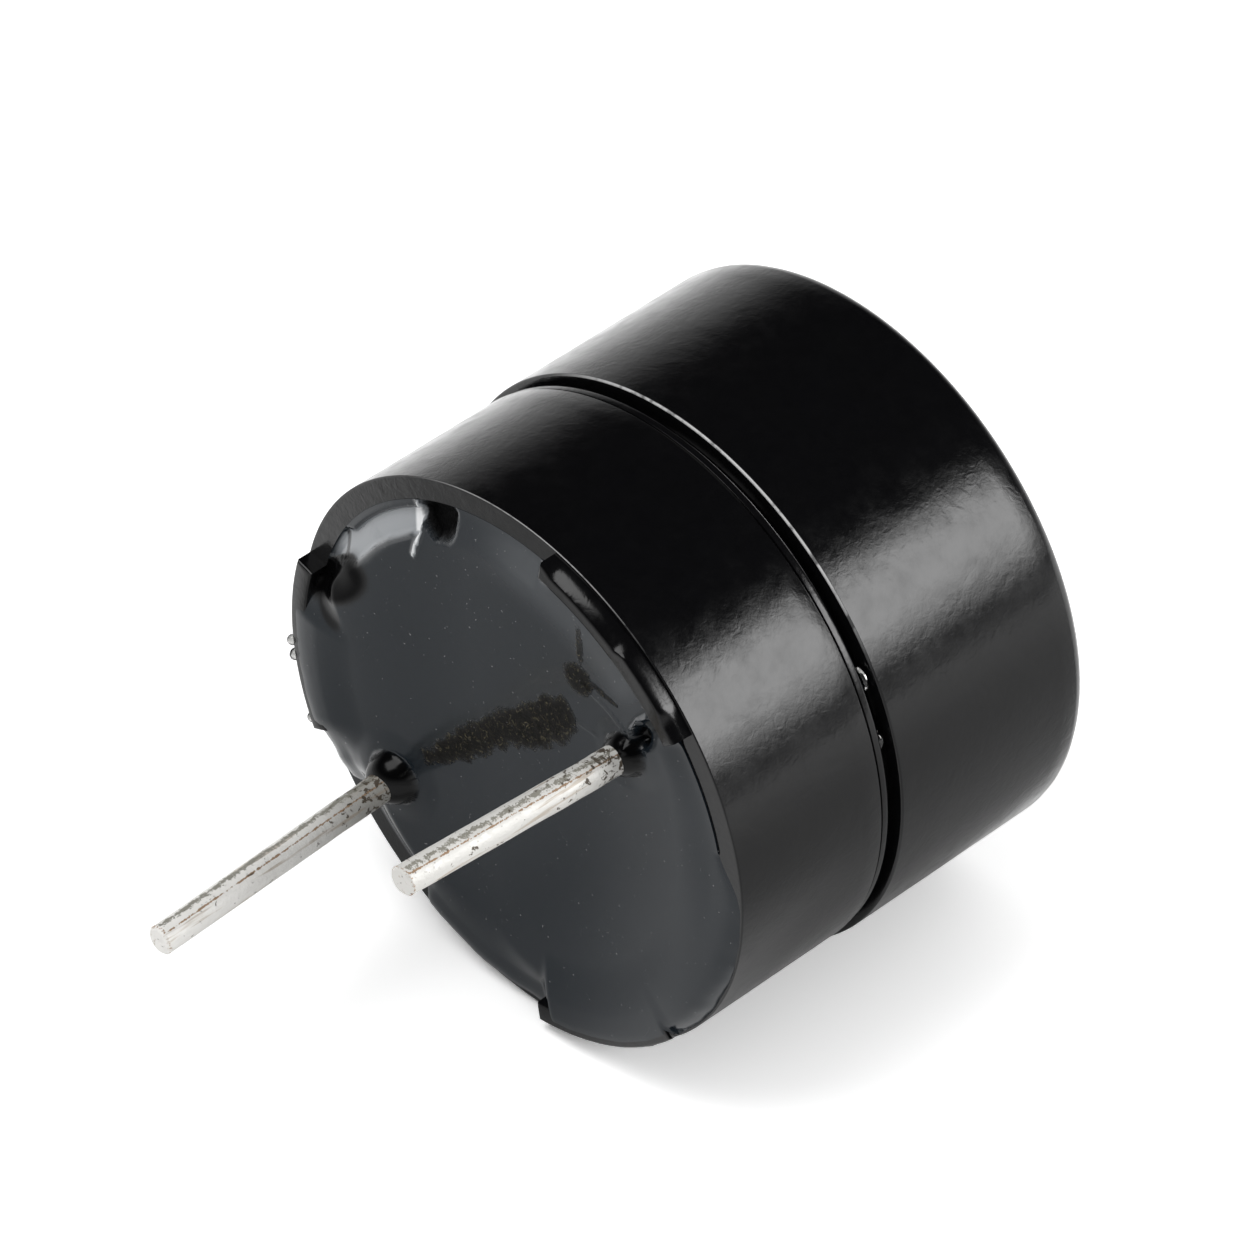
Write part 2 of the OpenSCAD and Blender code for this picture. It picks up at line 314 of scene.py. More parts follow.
blackPlastic = {
    # the pale tone is a painted edge highlight
    "tones": ((0.0022, 0.0022, 0.0025), (0.0036, 0.0036, 0.0041)), "edgeHighlight": (0.75, 0.75, 0.75),
    "rough": (0.13, 0.24), "ior": 1.38,
    "waves": 0.008, "wrinkles": 0.0035, "grain": 0.0005,
}


def makeMouldedBlack():
    b = blackPlastic
    material, tree = newMaterial("mouldedBlack")
    place = objectPlace(tree)
    waves = addNoise(tree, place, 1.1, 3, 0.55, 0.6)
    wrinkles = addNoise(tree, place, 5.5, 4, 0.55, 0.8)
    grain = addNoise(tree, place, 26, 2)
    rough = spread(tree, addNoise(tree, place, 2.2, 5, 0.6), 0.3, 0.75, b["rough"])
    normal = addBump(tree, waves, b["waves"])
    normal = addBump(tree, wrinkles, b["wrinkles"], normal)
    normal = addBump(tree, grain, b["grain"], normal)
    tint = blendColours(tree, wrinkles, *b["tones"])
    # pale dashed lines along edges: a painted highlight
    broken = spread(tree, addNoise(tree, place, 3.5, 3), 0.3, 0.5, (0.25, 1.0))
    tint = blendColours(tree, combine(tree, "MULTIPLY", readAttribute(tree, "edgeHighlight"), broken), tint, b["edgeHighlight"])
    addSurface(tree, tint, rough, normal, ior=b["ior"])
    return material


resin = {
    "body": ((0.006, 0.0100, 0.0140), (0.009, 0.0130, 0.0180)),
    "dirt": ((0.004, 0.0035, 0.0022), (0.19, 0.165, 0.10)), "grit": (0.54, 0.70), "fray": 1.3,
    "dust": (0.3, 0.3, 0.3), "dustAmount": 0.5,
    # first the greys of the painted reflection in the hollow, then the black that also paints the shadow round the
    # soft dent
    "reflectionGrey": ((0.27, 0.285, 0.30), (0.78, 0.79, 0.80)), "darkened": (0.002, 0.002, 0.0022),
    "rough": (0.17, 0.62), "shine": (0.5, 0.04), "ior": 1.4,
    "swirl": 0.002, "fine": 0.0006, "crumbs": 0.22,
}


def makePottingFinish():
    r = resin
    material, tree = newMaterial("pottingResin")
    place = objectPlace(tree)
    stain, torn, paintedReflection, dull = (readAttribute(tree, name) for name in ("stain", "torn", "paintedReflection", "dull"))
    swirl = addNoise(tree, place, 0.8, 4, 0.55, 1.2)
    crumbs = addNoise(tree, place, 9, 5, 0.7, 1.5)
    fine = addNoise(tree, place, 30, 3, 0.6)
    colour = blendColours(tree, swirl, *r["body"])
    # dried dirt with a frayed edge, and specks of dust
    dirt = blendColours(tree, spread(tree, crumbs, *r["grit"]), *r["dirt"])
    ragged = combine(tree, "MULTIPLY", combine(tree, "SUBTRACT", crumbs, 0.5), r["fray"])
    ragged = spread(tree, combine(tree, "ADD", stain, ragged), 0.25, 0.65)
    ragged = combine(tree, "MULTIPLY", ragged, spread(tree, stain, 0.02, 0.2))
    colour = blendColours(tree, ragged, colour, dirt)
    dust = spread(tree, addNoise(tree, place, 14, 1, 0.4), 0.755, 0.80)
    colour = blendColours(tree, combine(tree, "MULTIPLY", dust, r["dustAmount"]), colour, r["dust"])
    # painted reflection in the hollow, and painted sheen and highlight on the face
    reflectionGrey = blendColours(tree, spread(tree, paintedReflection, 0.55, 1.0), *r["reflectionGrey"])
    reflectionShare = combine(tree, "MULTIPLY", spread(tree, paintedReflection, 0.0, 0.5), spread(tree, swirl, 0.1, 0.5, (0.75, 1.0)))
    colour = blendColours(tree, reflectionShare, colour, reflectionGrey)
    # plain black where it is dull and nothing lies on it; round the soft dent this is a painted shadow
    darkened = combine(tree, "SUBTRACT", dull, combine(tree, "ADD", stain, paintedReflection))
    colour = blendColours(tree, spread(tree, darkened, 0, 0.5), colour, r["darkened"])
    rough = spread(tree, combine(tree, "ADD", ragged, torn), 0, 1, r["rough"])
    coarse = combine(tree, "MULTIPLY", crumbs, combine(tree, "MAXIMUM", ragged, torn))
    normal = addBump(tree, swirl, r["swirl"])
    normal = addBump(tree, fine, r["fine"], normal)
    normal = addBump(tree, coarse, r["crumbs"], normal)
    shader = addSurface(tree, colour, rough, normal, ior=r["ior"])
    tree.links.new(spread(tree, dull, 0, 1, r["shine"]), shader.inputs["Specular IOR Level"])
    return material


def makeGlue():
    material, tree = newMaterial("clearGlue")
    place = objectPlace(tree)
    haze = addNoise(tree, place, 4, 3)
    shader = addSurface(tree, (0.4, 0.4, 0.39), spread(tree, haze, 0.3, 0.7, (0.03, 0.12)),
                        addBump(tree, haze, 0.004), ior=1.6)
    shader.inputs["Transmission Weight"].default_value = 1.0
    return material


tin = {
    "tones": ((0.87, 0.855, 0.82), (0.96, 0.945, 0.915)), "shade": (0.26, 0.255, 0.23),
    "lines": (0.40, 0.31, 0.22), "linesAmount": 0.55, "lineStretch": 0.06,
    # painted bands: a dark reflection, and a brown line at the edge of the lamp's reflection
    "bands": (("darkReflection", (0.30, 0.29, 0.25)), ("brownLine", (0.36, 0.24, 0.15))), "fray": 4.5,
    "pits": (0.10, 0.08, 0.06), "wear": 0.14,
    "rough": (0.42, 0.58), "metallic": 0.24, "lumps": 0.02, "fine": 0.003,
}


def makeTin():
    t = tin
    material, tree = newMaterial("tinnedWire")
    place = objectPlace(tree)
    soft = addNoise(tree, place, 2.6, 4, 0.6, 0.5)
    lumps = addNoise(tree, place, 7, 4, 0.6, 0.4)
    fine = addNoise(tree, place, 26, 3, 0.6)
    colour = blendColours(tree, soft, *t["tones"])
    colour = blendColours(tree, readAttribute(tree, "shade"), colour, t["shade"])
    # drawing lines along the wire
    stretch = addNode(tree, "ShaderNodeMapping", Scale=(1, 1, t["lineStretch"]))
    tree.links.new(place, stretch.inputs["Vector"])
    lines = addNoise(tree, stretch.outputs["Vector"], 7, 3, 0.6)
    colour = blendColours(tree, spread(tree, lines, 0.58, 0.68, (0, t["linesAmount"])), colour, t["lines"])
    # frayed bands along it: a painted dark reflection, and a brown line painted at the edge of the lamp's
    # reflection; the same brown rings the tip
    mixed = combine(tree, "ADD", combine(tree, "MULTIPLY", lumps, 0.55), combine(tree, "MULTIPLY", fine, 0.45))
    uneven = combine(tree, "MULTIPLY", combine(tree, "SUBTRACT", mixed, 0.5), t["fray"])
    for name, tone in t["bands"]:
        band = readAttribute(tree, name)
        frayed = spread(tree, combine(tree, "ADD", band, uneven), 0.42, 0.7)
        frayed = combine(tree, "MULTIPLY", frayed, spread(tree, band, 0.02, 0.25))
        colour = blendColours(tree, frayed, colour, tone)
    # pits, more of them where the wire is worn
    wear = combine(tree, "MULTIPLY", readAttribute(tree, "wear"), t["wear"])
    colour = blendColours(tree, spread(tree, combine(tree, "ADD", lumps, wear), 0.63, 0.70), colour, t["pits"])
    rough = spread(tree, soft, 0.3, 0.7, t["rough"])
    normal = addBump(tree, lumps, t["lumps"])
    normal = addBump(tree, fine, t["fine"], normal)
    addSurface(tree, colour, rough, normal, metallic=t["metallic"])
    return material


def makePlain(name, dark, light, roughness, grain, depth, metallic=0.0):
    material, tree = newMaterial(name)
    place = objectPlace(tree)
    pattern = addNoise(tree, place, grain, 4, 0.6, 0.3)
    colour = blendColours(tree, pattern, dark, light)
    rough = spread(tree, pattern, 0.3, 0.7, roughness)
    addSurface(tree, colour, rough, addBump(tree, pattern, depth), metallic=metallic)
    return material


def makeWinding():
    material, tree = newMaterial("enamelledCopper")
    place = objectPlace(tree)
    rings = addNode(tree, "ShaderNodeTexWave", {"bands_direction": "Z"}, Scale=1.65, Distortion=0.4)
    tree.links.new(place, rings.inputs["Vector"])
    patches = addNoise(tree, place, 3, 3)
    colour = blendColours(tree, patches, (0.36, 0.12, 0.045), (0.62, 0.24, 0.10))
    rough = spread(tree, patches, 0.3, 0.7, (0.22, 0.36))
    addSurface(tree, colour, rough, addBump(tree, rings.outputs["Fac"], 0.01), metallic=1.0)
    return material


mouldedBlack = makeMouldedBlack()
pottingResin = makePottingFinish()
tinnedWire = makeTin()
clearGlue = makeGlue()
# name, dark and light tone, roughness, scale of the grain, its depth, metallic
plain = {
    "board": ("boardLaminate", (0.02, 0.10, 0.045), (0.03, 0.15, 0.07), (0.35, 0.5), 6, 0.004),
    "iron": ("bareIron", (0.33, 0.33, 0.34), (0.48, 0.48, 0.49), (0.28, 0.45), 5, 0.006, 1.0),
    "magnet": ("magnetFerrite", (0.022, 0.022, 0.024), (0.045, 0.045, 0.048), (0.5, 0.7), 9, 0.01),
    "spring": ("springSteel", (0.48, 0.48, 0.49), (0.6, 0.6, 0.61), (0.16, 0.26), 8, 0.001, 1.0),
    "solder": ("solderJoint", (0.5, 0.5, 0.51), (0.68, 0.68, 0.69), (0.2, 0.4), 4, 0.008, 1.0),
    "component": ("chipBody", (0.012, 0.012, 0.013), (0.03, 0.03, 0.032), (0.4, 0.55), 8, 0.004),
}
inner = {name: makePlain(*look) for name, look in plain.items()}
inner["winding"] = makeWinding()
inner["tinned"] = tinnedWire
innerNodes = {
    "circuit_board": "board", "yoke_plate": "iron", "core": "iron", "armature": "iron",
    "coil": "winding", "coil_lead_start": "winding", "coil_lead_tap": "winding", "coil_lead_end": "winding",
    "ring_magnet": "magnet", "diaphragm": "spring", "transistor_legs": "tinned",
    "pin_solder": "solder", "lead_solder": "solder", "component_solder": "solder",
    "transistor": "component", "resistor": "component", "diode": "component",
}
for name, finish in innerNodes.items():
    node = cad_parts[name]
    node.data.materials.clear()
    node.data.materials.append(inner[finish])
print("finishes made")


# helpers for turned pieces

def drawOutline(form, points, start=0.0):
    # points are radius, height and the size of the rounding there
    a = math.radians(start)
    corners = [form.verts.new(Vector((r * math.cos(a), r * math.sin(a), z)) * mm) for r, z, _ in points]
    for i, corner in enumerate(corners):
        form.edges.new((corner, corners[(i + 1) % len(corners)]))
    for corner, (_, _, size) in zip(corners, points):
        if size:
            bmesh.ops.bevel(form, geom=[corner], offset=size * mm, offset_type="OFFSET", affect="VERTICES",
                            segments=4, profile=0.5, material=-1)


def splitLong(form, longest):
    # extra points along the long straight parts, so that the surface can be worked
    for edge in list(form.edges):
        cuts = int(edge.calc_length() / (longest * mm))
        if cuts:
            bmesh.ops.subdivide_edges(form, edges=[edge], cuts=cuts)


def spinRound(form, steps):
    bmesh.ops.spin(form, geom=form.verts[:] + form.edges[:], axis=(0, 0, 1), cent=(0, 0, 0),
                   angle=2 * math.pi, steps=steps, use_merge=True)
    bmesh.ops.remove_doubles(form, verts=form.verts, dist=0.0005 * mm)
    bmesh.ops.recalc_face_normals(form, faces=form.faces)


def finishPiece(name, form, material, nodes, sharp=32):
    data = bpy.data.meshes.new(name)
    form.to_mesh(data)
    form.free()
    data.materials.append(material)
    data.shade_smooth()
    data.set_sharp_from_angle(angle=math.radians(sharp))
    piece = bpy.data.objects.new(name, data)
    bpy.context.scene.collection.objects.link(piece)
    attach(piece, "root")
    if nodes:
        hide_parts(*nodes)
    return piece


def polar(point):
    return math.degrees(math.atan2(point.y, point.x)) % 360, math.hypot(point.x, point.y) / mm


def paintEdgeHighlight(form, bands):
    # painted highlight as pale lines on edges: inner and outer radius, low and high, first and last direction,
    # amount; they fade over 25 degrees
    layer = form.verts.layers.float.new("edgeHighlight")
    for v in form.verts:
        angle, radius = polar(v.co)
        for inside, outside, low, high, first, last, amount in bands:
            if inside < radius < outside and low < v.co.z / mm < high:
                v[layer] = amount * fade(angle, first, first + 25) * fade(angle, last, last - 25)


# cap

cap = {
    "radius": 6.0, "top": 9.3, "skirt": 4.42, "edge": 0.28, "lip": 0.045, "lipRing": 0.055,
    "bore": 5.58, "seat": 6.1, "chamber": 5.05, "chamberTop": 8.5,
    "hole": 1.2, "holeBevel": 0.12, "longest": 0.4, "steps": 360,
    # painted highlight on the lip of the skirt
    "edgeHighlight": [(5.97, 5.997, 4.41, 4.47, 92, 190, 0.7)],
}


def makeCap():
    form = bmesh.new()
    c = cap
    drawOutline(form, [
        (c["radius"], c["skirt"], c["lip"]), (c["radius"], c["skirt"] + c["lipRing"], 0),
        (c["radius"], c["top"], c["edge"]),
        (c["hole"], c["top"], c["holeBevel"]), (c["hole"], c["chamberTop"], 0.03),
        (c["chamber"], c["chamberTop"], 0.1), (c["chamber"], c["seat"], 0.03),
        (c["bore"], c["seat"], 0.03), (c["bore"], c["skirt"], 0.03),
    ])
    splitLong(form, c["longest"])
    spinRound(form, c["steps"])
    paintEdgeHighlight(form, c["edgeHighlight"])
    finishPiece("capShell", form, mouldedBlack, ["cap"])


makeCap()
print("cap made")


# base

base = {
    "radius": 5.92, "rim": 0.4, "rimRing": 0.035, "pocket": 5.45, "pocketTop": 2.35,
    "land": 3.97, "groove": 5.855, "grooveTop": 4.03, "landRadius": 5.89, "shoulder": 4.2, "shoulderRing": 0.09,
    "spigot": 5.53, "spigotTop": 6.1, "seat": 5.25, "seatHeight": 5.8, "bore": 4.85,
    "longest": 0.4, "steps": 360,
    "tabs": ((14.5, 55.5), (139.5, 180.5), (259.5, 300.5)),
    "tabRadius": 5.86, "tabHeight": 0.4, "tabEdge": 0.05, "tabCuts": 4, "tabOutside": 5.6,
    # the second tab's outer side leans in, then bulges, and its last bit leans again:
    # how much, and the directions where that starts, is full, starts to end and has ended
    "lean": (0.17, 139, 143, 160.5, 162.5), "leanCurve": 1.7,
    "bulge": (0.035, 161, 163, 181, 182), "lastLean": (0.09, 175, 176, 181, 182),
    # painted highlights on the edges of the shoulder and of the rim
    "edgeHighlight": [(5.85, 5.885, 4.14, 4.21, 130, 176, 0.75), (5.905, 5.919, 0.39, 0.43, 96, 168, 0.4)],
}


def overPart(angle, part):
    amount, start, full, ending, end = part
    return amount * fade(angle, start, full) * fade(angle, end, ending)


def makeBase():
    form = bmesh.new()
    b = base
    drawOutline(form, [
        (b["pocket"], b["rim"], 0), (b["tabRadius"], b["rim"], 0), (b["radius"], b["rim"], 0.025),
        (b["radius"], b["rim"] + b["rimRing"], 0),
        (b["radius"], b["land"], 0.01), (b["groove"], b["land"], 0), (b["groove"], b["grooveTop"], 0),
        (b["landRadius"], b["grooveTop"], 0.01), (b["landRadius"], b["shoulder"] - b["shoulderRing"], 0),
        (b["landRadius"], b["shoulder"], 0.055),
        (b["spigot"], b["shoulder"], 0.03), (b["spigot"], b["spigotTop"], 0.03),
        (b["seat"], b["spigotTop"], 0.03), (b["seat"], b["seatHeight"], 0.02),
        (b["bore"], b["seatHeight"], 0.03), (b["bore"], b["pocketTop"], 0.03),
        (b["pocket"], b["pocketTop"], 0.03),
    ], start=0.5)
    splitLong(form, b["longest"])
    spinRound(form, b["steps"])
    # raise the tabs from the rim
    rim = []
    for face in form.faces:
        angle, radius = polar(face.calc_center_median())
        onRim = all(abs(v.co.z - b["rim"] * mm) < 1e-7 for v in face.verts) and radius < b["tabRadius"]
        if onRim and any(low < angle < high for low, high in b["tabs"]):
            rim.append(face)
    raised = bmesh.ops.extrude_face_region(form, geom=rim)["geom"]
    tops = [g for g in raised if isinstance(g, bmesh.types.BMFace)]
    bmesh.ops.delete(form, geom=rim, context="FACES")
    bmesh.ops.translate(form, vec=(0, 0, -b["tabHeight"] * mm),
                        verts=[g for g in raised if isinstance(g, bmesh.types.BMVert)])
    # lean and bulge of the second tab's side
    walls = [e for e in form.edges if abs(abs(e.verts[0].co.z - e.verts[1].co.z) - b["tabHeight"] * mm) < 1e-7]
    bmesh.ops.subdivide_edges(form, edges=walls, cuts=b["tabCuts"])
    for v in form.verts:
        angle, radius = polar(v.co)
        rise = (b["rim"] - v.co.z / mm) / b["tabHeight"]
        if rise > 0.01 and radius > b["tabOutside"]:
            inwards = overPart(angle, b["lean"]) * rise ** b["leanCurve"]
            inwards += overPart(angle, b["bulge"]) * (2 * rise - 1) ** 2
            inwards += overPart(angle, b["lastLean"]) * rise
            v.co.xy *= 1 - inwards / radius
    bmesh.ops.recalc_face_normals(form, faces=form.faces)
    edges = {e for f in tops for e in f.edges if e.calc_face_angle(0) > 0.6}
    bmesh.ops.bevel(form, geom=list(edges), offset=b["tabEdge"] * mm, offset_type="OFFSET", affect="EDGES",
                    segments=4, profile=0.5, material=-1)
    paintEdgeHighlight(form, b["edgeHighlight"])
    finishPiece("baseShell", form, mouldedBlack, ["base"])


makeBase()
print("base made")


# potting: a turned plug whose face is then shaped point by point

potting = {
    "radius": 5.447, "level": 0.34, "foot": 1.75, "steps": 600, "ringStep": 0.055,
    # how far the face stands out, and its broad waviness
    "face": 0.08, "wavy": 0.015,
    # round the edge: direction, height there, how far in it starts to change
    "edge": ((0, -0.05, 0.8), (8, 0.16, 0.8), (18, 0.365, 1.2), (42, 0.36, 1.2), (57, -0.05, 0.5),
             (75, -0.055, 0.9), (136, -0.055, 0.8), (141, 0.08, 0.7), (178, 0.10, 0.7), (183, -0.03, 0.7),
             (205, -0.03, 1.0), (256, 0.34, 1.3), (260, 0.36, 1.3), (296, 0.36, 1.3), (301.5, 0.05, 0.8),
             (318, 0.14, 1.2), (334, 0.12, 1.0), (339, -0.05, 0.7), (360, -0.05, 0.8)),
    # broad swellings of the face: direction, height, where it starts and ends
    "swells": ((33, 0.2, 0.8, 5.2), (279, 0.14, 0.8, 5.2)),
    # the lip over the rim: direction, how far it creeps out, height where it lands
    "lip": ((0, 0, -0.07), (3, 0.42, -0.07), (14, 0.44, -0.06), (15.2, 0.41, 0.30), (42, 0.40, 0.30),
            (49, 0.22, 0.33), (54, 0, 0.1), (57, 0, -0.07), (138, 0, -0.07), (141, 0, 0.10), (178, 0, 0.10),
            (183, 0, -0.07), (205, 0, -0.07), (218, 0.43, -0.07), (258.8, 0.44, -0.06), (260.3, 0.41, 0.30),
            (299, 0.41, 0.30), (300.6, 0.3, 0.0), (303, 0.4, -0.07), (334, 0.42, -0.07), (339, 0, -0.07),
            (360, 0, -0.07)),
    "lipFrom": 5.2, "lipLumps": 0.09, "lipCurve": 5,
    # drops at the pins: place, half sizes, height
    "drops": (((3.85, 0.22), (0.62, 0.57), 0.56), ((-3.825, -0.138), (0.52, 0.46), 0.42)),
    # how round they are, the share of the height in the skirt round them and where it fades, how dull they are
    "dropCurve": (2.4, 0.6), "skirt": (0.10, 1.9, 0.9), "dropDull": (0.55, 1.12, 0.92),
}

# crescent hollow beside the rim, with a painted reflection in it
hollow = {
    "span": (-1.0, 2.85), "ends": (0.08, 0.12), "bank": 0.07, "depth": 0.11,
    "lowest": 4.4, "outermost": 5.44, "outside": 5.3, "outsideMore": 0.14, "moreFrom": (1.5, 1.9),
    # its lower side
    "edge": ((-1.0, 5.0), (-0.72, 4.7), (-0.44, 4.75), (0.38, 4.74), (0.84, 4.68), (1.3, 4.56), (1.63, 4.47),
             (2.11, 4.51), (2.85, 4.63)),
    # in the painted reflection: a dark line across it, the darker part beyond it, and the white right end
    "darkLine": (2.02, 4.8, 0.5, 0.03, 0.1), "reflectionGrey": 0.5, "darker": 0.3, "darkerFrom": (1.3, 2.0),
    "darkerBelow": (4.85, 4.55), "white": 0.5, "whiteEnd": (-0.5, 4.9, 0.35, 0.12),
}

# dents and marks: places and half sizes along x and y, then the turn in degrees
dents = {
    # soft dent at the hollow's left, painted dark as shade
    "soft": {"low": (3.85, 4.5), "left": (4.0, 3.2), "right": (1.9, 2.7), "depth": 0.08, "dull": 1.5},
    "softTop": 4.68, "shadowTop": 4.72, "topSlope": (2.0, 0.08), "topFade": 0.1,
    # painted shadows beside it: amount, where the fade starts and ends, place, half sizes
    "shadow": (1, 1.5, 0.85, (2.6, 4.28), (0.9, 0.42)), "streak": (0.45, 1.35, 0.75, (3.25, 3.72), (0.24, 0.42)),
    # rough dent at its right and torn bubble beside the short pin: reach, sharpness, raggedness, then the place
    "torn": (2.2, 1.7, 0.4, (-1.42, 4.95), (0.52, 0.40), -12), "tornEdge": (-0.95, 4.9, 0.4, 0.1),
    "burst": (1.9, 1.5, 0.3, (-4.55, 0.12), (0.27, 0.17), -25),
    "tornDepth": (0.2, 0.08), "tornDull": 0.75, "burstDepth": 0.26, "burstDull": 0.6,
    # painted sheen along the inside of the right tab: amount, radii, and directions at its two ends
    "paintedSheen": (0.13, (3.7, 4.9), (105, 135), (176, 166)),
    # thin raised lines: height, half width, whether it gets a painted highlight, points; and where that highlight
    # starts and is full
    "lineFade": (0.3, 0.8),
    "lines": (
        (0.05, 0.08, True, ((-0.95, 5.32), (-0.98, 5.12), (-0.88, 4.9), (-0.7, 4.7), (-0.51, 4.58), (-0.27, 4.4))),
        (0.035, 0.06, False, ((-3.5, 1.35), (-3.85, 0.85), (-4.15, 0.3))),
        (0.09, 0.07, False, ((-4.2, 0.02), (-4.38, 0.3), (-4.72, 0.44), (-5.1, 0.5))),
        (0.06, 0.06, False, ((-4.62, 0.1), (-4.72, 0.42))),
        (0.02, 0.05, False, ((-2.75, 0.62), (-3.15, 0.3)))),
}

stains = {
    "shift": (0.14, -0.03),
    # the streak between the pins: x, lower and upper side
    "streak": ((3.1, 0.33, 0.42), (2.0, 0.22, 0.72), (1.0, 0.27, 0.88), (0.0, 0.4, 1.0),
               (-1.0, 0.2, 1.1), (-2.0, 0.3, 1.2), (-2.75, 0.6, 1.05)),
    "ends": 0.35, "side": 0.36,
    # raggedness of its sides: amount and scale
    "ragged": ((0.13, 3), (0.06, 9)),
    # a second mark with its tails: amount, reach, sharpness, place, half sizes, turn
    "marks": ((0.9, 1.7, 1.2, (-3.3, 1.4), (0.36, 0.33), 20), (0.6, 1.5, 1.3, (-3.85, 2.0), (0.62, 0.13), -55),
              (0.6, 1.5, 1.3, (-3.85, 1.05), (0.5, 0.09), 50)),
    "dull": 0.6, "crust": 0.012,
}


def valuesAt(table, at, soft=True):
    for first, second in zip(table, table[1:]):
        if first[0] <= at <= second[0]:
            t = fade(at, first[0], second[0]) if soft else (at - first[0]) / (second[0] - first[0])
            return [a + t * (b - a) for a, b in zip(first[1:], second[1:])]


def noiseAt(x, y, scale, layer):
    return noise.noise(Vector((x * scale, y * scale, layer)))


def ellipse(x, y, at, size, turn=0.0):
    # 0 in the middle, 1 on the outline
    a = math.radians(turn)
    u, v = x - at[0], y - at[1]
    along, across = u * math.cos(a) + v * math.sin(a), v * math.cos(a) - u * math.sin(a)
    return math.hypot(along / size[0], across / size[1])


def ridge(x, y, width, line):
    # 1 on the line, falling to 0 at the width beside it
    nearest = width
    for (x0, y0), (x1, y1) in zip(line, line[1:]):
        if min(x0, x1) - width < x < max(x0, x1) + width and min(y0, y1) - width < y < max(y0, y1) + width:
            t = ((x - x0) * (x1 - x0) + (y - y0) * (y1 - y0)) / ((x1 - x0) ** 2 + (y1 - y0) ** 2)
            t = min(max(t, 0), 1)
            nearest = min(nearest, math.hypot(x - x0 - t * (x1 - x0), y - y0 - t * (y1 - y0)))
    return fade(nearest, width, 0)


def hollowAt(x, y, radius):
    # how much of the hollow is at x, y, and how much painted reflection lies there
    h = hollow
    first, last = h["span"]
    if not (first < x < last and y > h["lowest"] and radius < h["outermost"]):
        return 0.0, 0.0
    low = valuesAt(h["edge"], x, soft=False)[0]
    high = math.sqrt((h["outside"] + h["outsideMore"] * fade(x, *h["moreFrom"])) ** 2 - x * x)
    if not low < y < high:
        return 0.0, 0.0
    inside = fade(min(y - low, high - y), 0, h["bank"])
    inside *= fade(x, first, first + h["ends"][0]) * fade(x, last, last - h["ends"][1])
    # painted into the reflection: a dark line across it, darker beyond it, and a white right end
    foldX, foldY, slope, narrow, wide = h["darkLine"]
    darkLine = fade(abs(x - foldX + slope * (y - foldY)), narrow, wide)
    paintedReflection = inside * darkLine * (h["reflectionGrey"] - h["darker"] * fade(x, *h["darkerFrom"]) * fade(y, *h["darkerBelow"]))
    endX, endY, slope, width = h["whiteEnd"]
    paintedReflection += h["white"] * inside * fade(endX - x + slope * (endY - y), 0, width)
    return inside, paintedReflection


def spotAt(x, y, amount, empty, full, place, size):
    return amount * fade(ellipse(x, y, place, size), empty, full)


def dentAt(x, y):
    # the soft dent, and how dull the face is round it; that dullness is a painted shadow: black colour and little
    # shine
    soft = dents["soft"]
    middle, slope = dents["topSlope"]
    upTo = y + slope * (x - middle)
    dent = fade(y, *soft["low"]) * fade(x, *soft["right"]) * fade(x, *soft["left"])
    dent *= fade(upTo, dents["softTop"], dents["softTop"] - dents["topFade"])
    shadow = spotAt(x, y, *dents["shadow"])
    shadow *= fade(upTo, dents["shadowTop"], dents["shadowTop"] - dents["topFade"])
    shadow = max(shadow, spotAt(x, y, *dents["streak"]))
    return dent, max(shadow, min(1, soft["dull"] * dent))


def tornAt(x, y, fine, reach, sharpness, ragged, *place):
    return fade(reach - sharpness * ellipse(x, y, *place) + ragged * fine, 0, 1)


def stainAt(x, y):
    s = stains
    x, y = x + s["shift"][0], y + s["shift"][1]
    amount = 0.0
    streak = s["streak"]
    if streak[-1][0] < x < streak[0][0]:
        low, high = valuesAt(streak[::-1], x, soft=False)
        ragged = sum(rough * noiseAt(x, y, scale, 4) for rough, scale in s["ragged"])
        inside = min(y - low, high - y) + ragged
        ends = fade(min(streak[0][0] - x, x - streak[-1][0]), 0, s["ends"])
        amount = fade(inside, -s["side"] / 2, s["side"] / 2) * ends
    for most, reach, sharpness, *mark in s["marks"]:
        amount = max(amount, most * fade(reach - sharpness * ellipse(x, y, *mark), 0, 1))
    return amount


